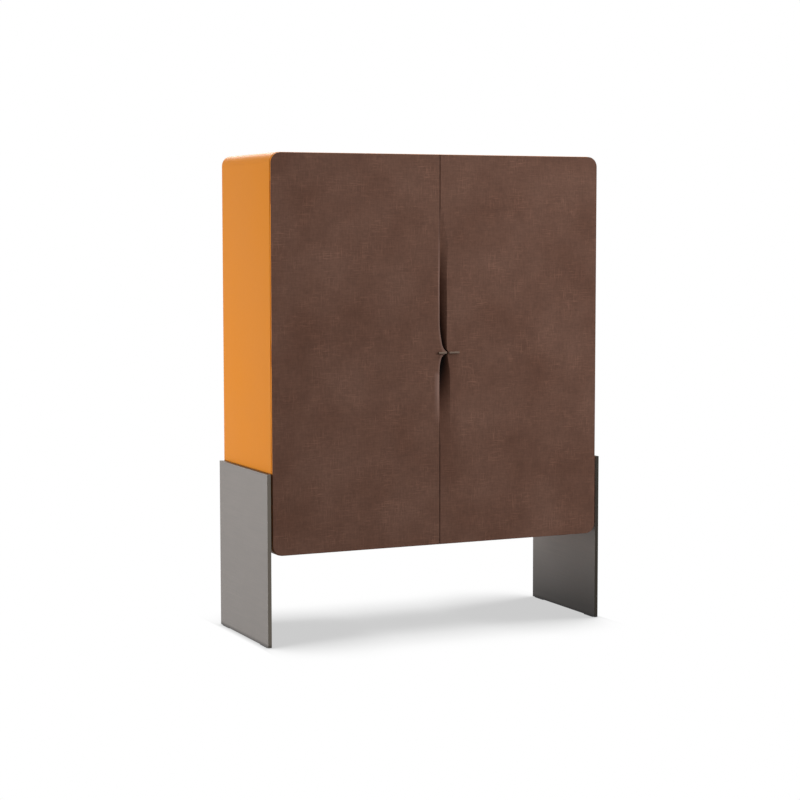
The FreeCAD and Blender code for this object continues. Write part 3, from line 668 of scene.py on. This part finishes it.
@dataclass(frozen=True)
class TongueSide:
    """Upper or lower half of the tongue: heights above the bars, and reach past the door's edge."""

    start_rise: float
    neck_rise: float
    neck_reach: float
    tip_rise: float
    tip_reach: float = 0.026
    door_edge: float = -0.001

    def sweeps(self) -> tuple[Sweep, Sweep]:
        """Works out the two arcs: one leaves the edge upright, the next carries on from it to the tip.

        Returns:
            The long arc and the short one.
        """
        start = Vector((self.door_edge, PLACES.bars + self.start_rise))
        neck = Vector((self.door_edge + self.neck_reach, PLACES.bars + self.neck_rise))
        tip = Vector((self.door_edge + self.tip_reach, PLACES.bars + self.tip_rise))
        long_radius = (neck - start).length_squared / (2 * self.neck_reach)
        long_centre = start + Vector((long_radius, 0.0))
        inward = (long_centre - neck).normalized()
        short_radius = -(neck - tip).length_squared / (2 * inward.dot(neck - tip))
        short_centre = neck + inward * short_radius
        return Sweep(*long_centre, long_radius), Sweep(*short_centre, short_radius)


@dataclass(frozen=True)
class RolledEdge:
    """A stretch of rolled edge with a painted highlight: its start and fade, as heights above the bars, and
    its width.
    """

    start: Span
    fade: Span
    width: Span


@dataclass(frozen=True)
class RimHighlitNubuck(Nubuck):
    """Leather of the left door: a painted highlight along the rim of its tongue and rolled edges."""

    rim: float = 0.7
    rim_highlight_tint: Colour = (0.200, 0.120, 0.098)
    rolls: tuple[RolledEdge, ...] = (
        RolledEdge((0.10, 0.17), (0.46, 0.24), (0.0035, 0.0085)),
        RolledEdge((-0.060, -0.075), (-0.240, -0.12), (0.009, 0.022)))
    tongue: tuple[TongueSide, ...] = (
        TongueSide(0.110, 0.027, 0.0095, 0.003), TongueSide(-0.062, -0.022, 0.0055, -0.003))
    tongue_share: float = 0.8
    tongue_width: Span = (0.003, 0.0075)

    def painted_light(self, board: NodeBoard, axes: Axes, skin: Socket) -> Socket:
        """Paints a highlight along the leather's rim."""
        return board.mix(self.rim_highlight_share(board, axes), skin, self.rim_highlight_tint)

    def rim_highlight_share(self, board: NodeBoard, axes: Axes) -> Socket:
        """Finds the painted highlight along the rim of the tongue and the rolled edges.

        Args:
            board: Board of the material.
            axes: Object coordinates, split.

        Returns:
            The share of the painted highlight tint.
        """
        rise = board.less(axes["Z"], PLACES.bars)
        inside = board.times(axes["X"], -1.0)
        shares = []
        for roll in self.rolls:
            stretch = board.times(board.remap(rise, *roll.start), board.remap(rise, *roll.fade))
            shares.append(board.times(stretch, board.remap(inside, *roll.width, self.rim, 0.0)))
        for side in self.tongue:
            for sweep in side.sweeps():
                spread = board.reach(board.less(axes["X"], sweep.x), board.less(axes["Z"], sweep.z))
                near, far = (sweep.radius + width for width in self.tongue_width)
                shares.append(board.remap(spread, near, far, self.rim * self.tongue_share, 0.0))
        return board.most(*shares)


@dataclass(frozen=True)
class BrushedMetal:
    """Brushed metal: lines along one axis in colour, gloss and relief."""

    name: str
    colour: Colour
    along: Point
    scale: float = 260.0
    gloss: Span = (0.34, 0.46)
    contrast: float = 0.10
    relief: float = 0.08
    relief_height: float = 0.0003
    metallic: float = 1.0
    specular: float = 0.5
    patch: float = 0.03
    patch_scale: float = 6.0
    fleck: float = 0.02
    fleck_scale: float = 50.0

    def material(self) -> bpy.types.Material:
        """Builds the material.

        Returns:
            The material.
        """
        material, board, shader, where = start_material(self.name)
        lines = use_group(board, Effects.brush, vector=board.stretch(where, self.along), scale=self.scale,
                          low=self.gloss[0], high=self.gloss[1])
        tone = use_group(board, Effects.mottle, vector=where, colour=self.colour,
                         patch_scale=self.patch_scale, patch=self.patch,
                         fleck_scale=self.fleck_scale, fleck=self.fleck)
        dark = tuple(channel * (1.0 - self.contrast) for channel in self.colour)
        streak = board.remap(lines.outputs["Line"], *NOISE_SPAN)
        colour = board.mix(streak, dark, tone.outputs["Colour"])
        board.feed(shader.inputs["Base Color"], self.edged(board, where, colour))
        board.feed(shader.inputs["Roughness"], lines.outputs["Roughness"])
        grooves = board.bump(lines.outputs["Line"], self.relief, self.relief_height)
        board.feed(shader.inputs["Normal"], grooves)
        shader.inputs["Metallic"].default_value = self.metallic
        shader.inputs["Specular IOR Level"].default_value = self.specular
        return material

    def edged(self, board: NodeBoard, where: Socket, colour: Socket) -> Socket:
        """Gives the colour with any darker edges; a plain metal part has none."""
        return colour


@dataclass(frozen=True)
class LegMetal(BrushedMetal):
    """Metal of the two leg panels, with dark edges that are painted darker on the right leg as shade,
    painted shade on the inner face towards the floor, and painted shade along the foot.
    """

    left_edge_lit: Colour = (0.115, 0.100, 0.082)
    right_edge_shaded: Colour = (0.020, 0.016, 0.011)
    side_span: Span = (-0.1, 0.1)
    face_turn: Span = (0.55, 0.85)
    inner_turn: Span = (-0.5, -0.3)
    inner_painted_shade: float = 0.3
    inner_rise: Span = (0.03, 0.25)
    foot_painted_shade: float = 0.45
    foot_rise: Span = (0.005, 0.015)

    def edged(self, board: NodeBoard, where: Socket, colour: Socket) -> Socket:
        """Darkens the edges, the right leg's more as painted shade, and paints shade on the inner face and
        along the foot.

        Args:
            board: Board of the material.
            where: Object coordinates.
            colour: Colour of the brushed faces.

        Returns:
            The colour.
        """
        axes = board.axes(where)
        turn = board.axes(board.add("NewGeometry").outputs["Normal"])["X"]
        # painted shade: the right leg's edges are darker than the left leg's
        edge = board.mix(board.remap(axes["X"], *self.side_span), self.left_edge_lit, self.right_edge_shaded)
        toned = board.mix(board.remap(board.size(turn), *self.face_turn), edge, colour)
        # painted shade: the inner face darkens towards the floor
        inner = board.remap(board.times(turn, axes["X"]), *self.inner_turn, self.inner_painted_shade, 1.0)
        dim = board.remap(axes["Z"], *self.inner_rise, inner, 1.0)
        # painted shade along the foot
        foot = board.remap(axes["Z"], *self.foot_rise, self.foot_painted_shade, 1.0)
        return board.scale(toned, board.times(dim, foot))


@dataclass(frozen=True)
class Moulded:
    """Moulded plastic: a plain dark colour with a fine spark-eroded grain."""

    name: str
    colour: Colour
    roughness: float = 0.55
    duller: float = 0.08
    glossier: float = 0.05
    patch: float = 0.05
    patch_scale: float = 30.0
    fleck: float = 0.10
    fleck_scale: float = 400.0
    grain: float = 0.1
    grain_scale: float = 1500.0
    grain_height: float = 0.0004

    def material(self) -> bpy.types.Material:
        """Builds the material.

        Returns:
            The material.
        """
        material, board, shader, where = start_material(self.name)
        tone = use_group(board, Effects.mottle, vector=where, colour=self.colour,
                         patch_scale=self.patch_scale, patch=self.patch,
                         fleck_scale=self.fleck_scale, fleck=self.fleck)
        board.feed(shader.inputs["Base Color"], tone.outputs["Colour"])
        grain = board.noise(where, self.grain_scale)
        board.feed(shader.inputs["Roughness"],
                   board.around(grain, NOISE_SPAN, self.roughness, self.glossier, self.duller))
        board.feed(shader.inputs["Normal"], board.bump(grain, self.grain, self.grain_height))
        return material


ORANGE = (0.645, 0.219, 0.017)
FINISHES = {
    Slot.LACQUER: Lacquer("orange_lacquer", ORANGE),
    Slot.DOOR: DoorLacquer("door_lacquer", ORANGE),
    Slot.LEATHER: Nubuck("brown_leather"),
    Slot.LEG: LegMetal("leg_metal", (0.210, 0.190, 0.176), (0.5, 0.02, 1.0), gloss=(0.42, 0.55),
                       contrast=0.20, relief=0.10, metallic=0.4, specular=0.25),
    Slot.BAR: BrushedMetal("bar_metal", (0.138, 0.100, 0.078), (0.05, 1.0, 1.0), scale=700.0),
    Slot.HINGE: Lacquer("hinge_paint", (0.56, 0.180, 0.014), roughness=0.32),
    Slot.HARDWARE: BrushedMetal("dark_hardware", (0.12, 0.092, 0.073), (1.0, 1.0, 1.0), scale=500.0),
    Slot.PLASTIC: Moulded("black_plastic", (0.02, 0.02, 0.021)),
}
# the left door's leather has a painted highlight along its rim
NODE_FINISHES = {"door_left_leather": RimHighlitNubuck("rim_highlit_leather")}


@dataclass
class Paintbox:
    """The finished materials: one for each slot of the record, and those of single nodes that differ."""

    materials: dict[Slot, bpy.types.Material] = field(default_factory=dict)
    singles: dict[str, bpy.types.Material] = field(default_factory=dict)
    slots: dict[str, Slot] = field(default_factory=dict)

    def mix(self) -> None:
        """Builds the shared effects and every material, and looks up each node's slot."""
        Effects.build()
        for slot, finish in FINISHES.items():
            self.materials[slot] = finish.material()
        for name, finish in NODE_FINISHES.items():
            self.singles[name] = finish.material()
        for part in frame["record"]["subparts"]:
            self.slots[part["node"]] = Slot(part["material_slot"])

    def paint(self, name: str) -> bpy.types.Object:
        """Gives a CAD node its own material, or else the one that its record slot asks for.

        Args:
            name: Name of the node.

        Returns:
            The painted piece.
        """
        piece = frame["nodes"][name]
        material = self.singles.get(name) or self.materials[self.slots[name]]
        piece.data.materials.clear()
        piece.data.materials.append(material)
        log.info("%s: %s", name, material.name)
        return piece


# Sub-assemblies

LEG_PREFIX = "leg_"


@dataclass
class SubAssembly:
    """Pieces of one body that are dressed together."""

    body: str = "carcass"

    def members(self) -> list[str]:
        """Names of its CAD nodes."""
        return list(frame["record"]["behaviour"]["bodies"][self.body])

    def refine(self, name: str, piece: bpy.types.Object) -> None:
        """Works on a painted piece; most pieces are left as they are."""

    def dress(self, paints: Paintbox) -> None:
        """Paints and refines every piece."""
        for name in self.members():
            self.refine(name, paints.paint(name))


@dataclass
class Legs(SubAssembly):
    """The two metal leg panels with their bolts, spacers and glides."""

    def members(self) -> list[str]:
        """Names of the legs' nodes."""
        return [name for name in super().members() if name.startswith(LEG_PREFIX)]


@dataclass
class Box(SubAssembly):
    """The lacquered box with its back, divider, shelves and fittings; plain boards get eased edges."""

    eased: tuple[str, ...] = ("back_panel", "shelf_left", "shelf_right")
    join: float = 0.00001
    arris: float = 0.0015
    arris_steps: int = 2

    def members(self) -> list[str]:
        """Names of the box's nodes."""
        return [name for name in super().members() if not name.startswith(LEG_PREFIX)]

    def refine(self, name: str, piece: bpy.types.Object) -> None:
        """Joins the faces of a plain board and eases its edges.

        Args:
            name: Name of the node.
            piece: The painted piece.
        """
        if not name.startswith(self.eased):
            return
        join = piece.modifiers.new("join", "WELD")
        join.merge_threshold = self.join
        ease = piece.modifiers.new("arris", "BEVEL")
        ease.width = self.arris
        ease.segments = self.arris_steps
        ease.limit_method = "ANGLE"


@dataclass
class Door(SubAssembly):
    """One door: board, leather, bar and hinge leaves; its sculpted pieces keep a crisp crease."""

    sculpted: tuple[str, ...] = ("_leather", "_grip_block")
    crease: float = math.radians(5.0)

    @classmethod
    def on(cls, side: Side) -> "Door":
        """Gives the door on one side."""
        return cls(f"door_{side.value}")

    def refine(self, name: str, piece: bpy.types.Object) -> None:
        """Splits the shading of a sculpted piece at its creases.

        Args:
            name: Name of the node.
            piece: The painted piece.
        """
        if name.endswith(self.sculpted):
            split = piece.modifiers.new("crease", "EDGE_SPLIT")
            split.split_angle = self.crease


# Studio

@dataclass(frozen=True)
class Softbox:
    """A square area light: its place, the length of its sides and its power in watts."""

    name: str
    place: Point
    size: float
    power: float

    def light(self, aim: Point) -> None:
        """Builds the lamp.

        Args:
            aim: Point that it is turned to.
        """
        lamp = bpy.data.lights.new(self.name, "AREA")
        lamp.shape = "SQUARE"
        lamp.size = self.size
        lamp.energy = self.power
        holder = bpy.data.objects.new(self.name, lamp)
        holder.location = self.place
        holder.rotation_euler = (Vector(aim) - Vector(self.place)).to_track_quat("-Z", "Y").to_euler()
        bpy.context.scene.collection.objects.link(holder)


@dataclass
class Studio:
    """Pale floor, soft light and the camera of the photograph."""

    sky_light: float = 0.22
    floor_radius: float = 9.0
    floor_sides: int = 96
    floor_tone: Colour = (0.38, 0.38, 0.38)
    shadow_samples: int = 32
    shadow_reach: float = 0.45
    shadow_range: Span = (0.52, 0.92)
    shadow_level: float = 0.60
    shadow_ends: Span = (0.57, 0.64)
    lamps: tuple[Softbox, ...] = (
        Softbox("key_right", (5.5, -3.3, 3.0), 2.2, 420.0),
        Softbox("side_left", (-3.3, 0.8, 0.75), 1.4, 71.0),
        Softbox("top", (0.3, -1.5, 5.2), 2.0, 125.0),
        Softbox("back", (0.7, 4.4, 3.9), 2.4, 140.0))
    aim: Point = (0.0, 0.0, 0.85)
    camera_place: Point = (-2.942, -6.198, 1.358)
    camera_yaw: float = 25.067
    camera_pitch: float = 4.903
    camera_roll: float = -0.054
    lens: float = 90.24
    sensor: float = 36.0

    def build(self) -> None:
        """Makes the whole studio."""
        self.world()
        self.floor()
        for lamp in self.lamps:
            lamp.light(self.aim)
        self.camera()
        log.info("studio: floor, %d lamps and camera", len(self.lamps))

    def seen_share(self, board: NodeBoard) -> Socket:
        """Finds the rays that show the backdrop: straight to the camera, in a reflection or through glass.

        Args:
            board: Board of the world or of the floor.

        Returns:
            1 on those rays, and 0 on the others.
        """
        path = board.add("LightPath").outputs
        return board.most(path["Is Camera Ray"], path["Is Glossy Ray"], path["Is Transmission Ray"])

    def world(self) -> None:
        """Makes the background: white where it is seen, and dimmer where it lights the object."""
        world = bpy.data.worlds.new("studio")
        bpy.context.scene.world = world
        world.use_nodes = True
        board = NodeBoard(world.node_tree)
        sky = next(node for node in board.tree.nodes if node.type == "BACKGROUND")
        sky.inputs["Color"].default_value = (1.0, 1.0, 1.0, 1.0)
        strength = board.remap(self.seen_share(board), 0.0, 1.0, self.sky_light, 1.0)
        board.feed(sky.inputs["Strength"], strength)

    def floor(self) -> None:
        """Makes a round floor."""
        mesh = bpy.data.meshes.new("floor")
        shape = bmesh.new()
        bmesh.ops.create_circle(shape, cap_ends=True, segments=self.floor_sides, radius=self.floor_radius)
        shape.to_mesh(mesh)
        shape.free()
        mesh.materials.append(self.paper())
        floor = bpy.data.objects.new("floor", mesh)
        bpy.context.scene.collection.objects.link(floor)

    def paper(self) -> bpy.types.Material:
        """Makes the floor's paper: it is seen white, with a soft grey shadow under what stands above it.

        Returns:
            The material.
        """
        material = bpy.data.materials.new("floor_paper")
        material.use_nodes = True
        board = NodeBoard(material.node_tree)
        board.tree.nodes.clear()
        matt = board.add("BsdfDiffuse")
        board.feed(matt.inputs["Color"], self.floor_tone)
        open_sky = board.add("AmbientOcclusion", samples=self.shadow_samples)
        open_sky.inputs["Distance"].default_value = self.shadow_reach
        shadow = board.remap(open_sky.outputs["AO"], *self.shadow_range, self.shadow_level, 1.0)
        along = board.axes(board.add("TexCoord").outputs["Object"])["X"]
        outside = board.remap(board.size(along), *self.shadow_ends)
        glow = board.add("Emission")
        board.feed(glow.inputs["Strength"], board.most(shadow, outside))
        seen = board.add("MixShader")
        board.feed(seen.inputs[0], self.seen_share(board))
        board.feed(seen.inputs[1], matt.outputs[0])
        board.feed(seen.inputs[2], glow.outputs[0])
        board.feed(board.add("OutputMaterial").inputs["Surface"], seen.outputs[0])
        return material

    def camera(self) -> None:
        """Places the camera where the photograph was taken from."""
        data = bpy.data.cameras.new("camera")
        data.lens = self.lens
        data.sensor_width = self.sensor
        holder = bpy.data.objects.new("camera", data)
        holder.location = self.camera_place
        turn = Matrix.Rotation(-math.radians(self.camera_yaw), 4, "Z")
        tilt = Matrix.Rotation(math.radians(90.0 - self.camera_pitch), 4, "X")
        roll = Matrix.Rotation(math.radians(self.camera_roll), 4, "Z")
        holder.rotation_euler = (turn @ tilt @ roll).to_euler()
        bpy.context.scene.collection.objects.link(holder)
        bpy.context.scene.camera = holder


def main() -> None:
    """Dresses the sub-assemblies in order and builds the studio."""
    logging.basicConfig(level=logging.INFO, format="%(message)s")
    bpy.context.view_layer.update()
    bpy.context.scene.view_settings.view_transform = "Standard"
    paints = Paintbox()
    paints.mix()
    for assembly in (Box(), Legs(), Door.on(Side.LEFT), Door.on(Side.RIGHT)):
        assembly.dress(paints)
    Studio().build()


if __name__ == "__main__":
    main()
